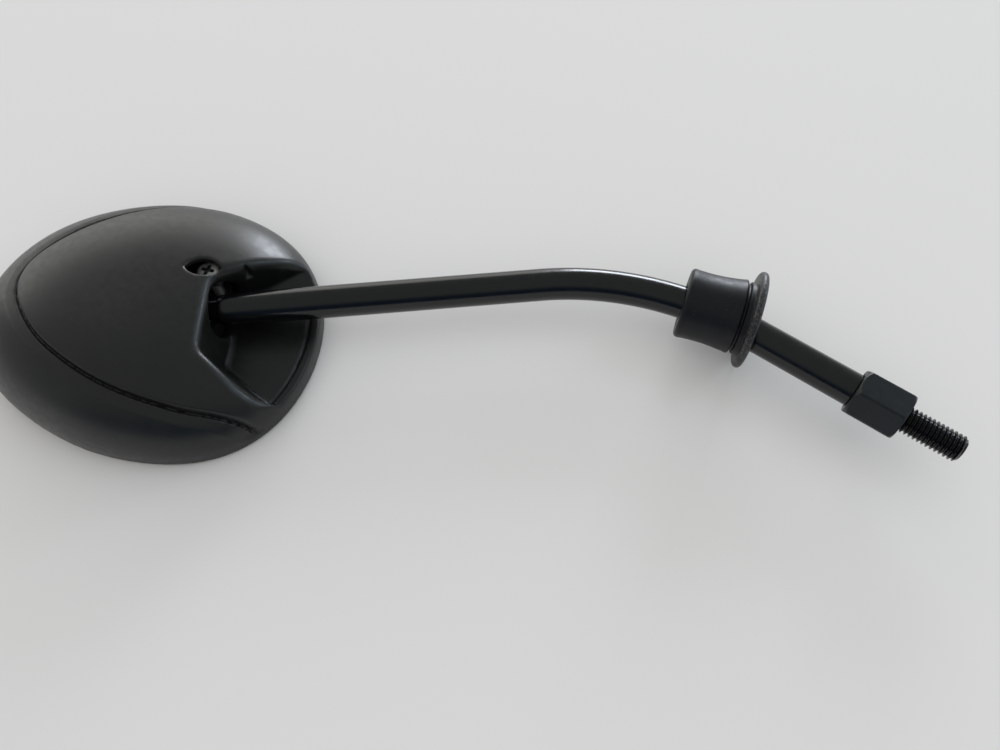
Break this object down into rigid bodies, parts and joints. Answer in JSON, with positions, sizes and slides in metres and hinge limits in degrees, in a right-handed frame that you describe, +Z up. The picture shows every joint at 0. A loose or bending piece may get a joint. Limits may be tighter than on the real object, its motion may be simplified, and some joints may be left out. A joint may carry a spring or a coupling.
{
  "type": "scooter mirror",
  "caption": "Rear-view mirror for a motor scooter: oval moulded housing on a bent rod with a threaded stud, lock nut and rubber boot.",
  "frame": {"origin": "root of the exposed stud, on its axis, where the stud leaves the lock nut", "axes": "+X out along the stud, +Z up from the face of the glass to the back of the housing, +Y to the left of the stud seen from behind the housing; the stem lies in the XY plane"},
  "size_m": [0.2697, 0.1637, 0.0299],
  "materials": {
    "stem_paint": "gloss black",
    "nut_paint": "satin black",
    "housing_plastic": "satin black, fine grain",
    "boot_rubber": "semi-gloss black",
    "gasket_rubber": "matt black",
    "foam": "soft closed-cell foam",
    "mirror": "polished, silvered",
    "liner_nylon": "natural nylon",
    "bright_steel": "zinc plated, worn"
  },
  "bodies": {
    "stem": {"stem_rod": "stem_paint"},
    "nut": {"lock_nut": "nut_paint"},
    "boot": {"rubber_boot": "boot_rubber"},
    "liner_inner": {"liner_rear": "liner_nylon"},
    "liner_outer": {"liner_front": "liner_nylon"},
    "head": {"rear_shell": "housing_plastic", "mirror_glass": "mirror", "glass_gasket": "gasket_rubber", "foam_pad": "foam", "clamp_plate_rear": "bright_steel", "clamp_plate_front": "bright_steel", "tension_screw": "bright_steel", "spring_washer": "bright_steel", "tension_nut": "bright_steel", "fixing_screws": "bright_steel"}
  },
  "joints": [
    {"name": "nut_spin", "type": "hinge", "parent": "stem", "child": "nut", "pos_m": [0, 0, 0], "axis": [1, 0, 0], "continuous": true},
    {"name": "boot_slide", "type": "hinge", "parent": "stem", "child": "boot", "pos_m": [-0.04265, -0.13514, 0], "axis": [0, 0, -1], "range_deg": [0, 13.5]},
    {"name": "ball_twist", "type": "hinge", "parent": "stem", "child": "liner_inner", "pos_m": [-0.189, -0.09585, 0], "axis": [0.7431, 0.6691, 0], "continuous": true},
    {"name": "ball_pan", "type": "hinge", "parent": "liner_inner", "child": "liner_outer", "pos_m": [-0.189, -0.09585, 0], "axis": [0, 0, 1], "range_deg": [-8, 14]},
    {"name": "ball_tilt", "type": "hinge", "parent": "liner_outer", "child": "head", "pos_m": [-0.189, -0.09585, 0], "axis": [-0.6691, 0.7431, 0], "range_deg": [-4, 14]}
  ]
}
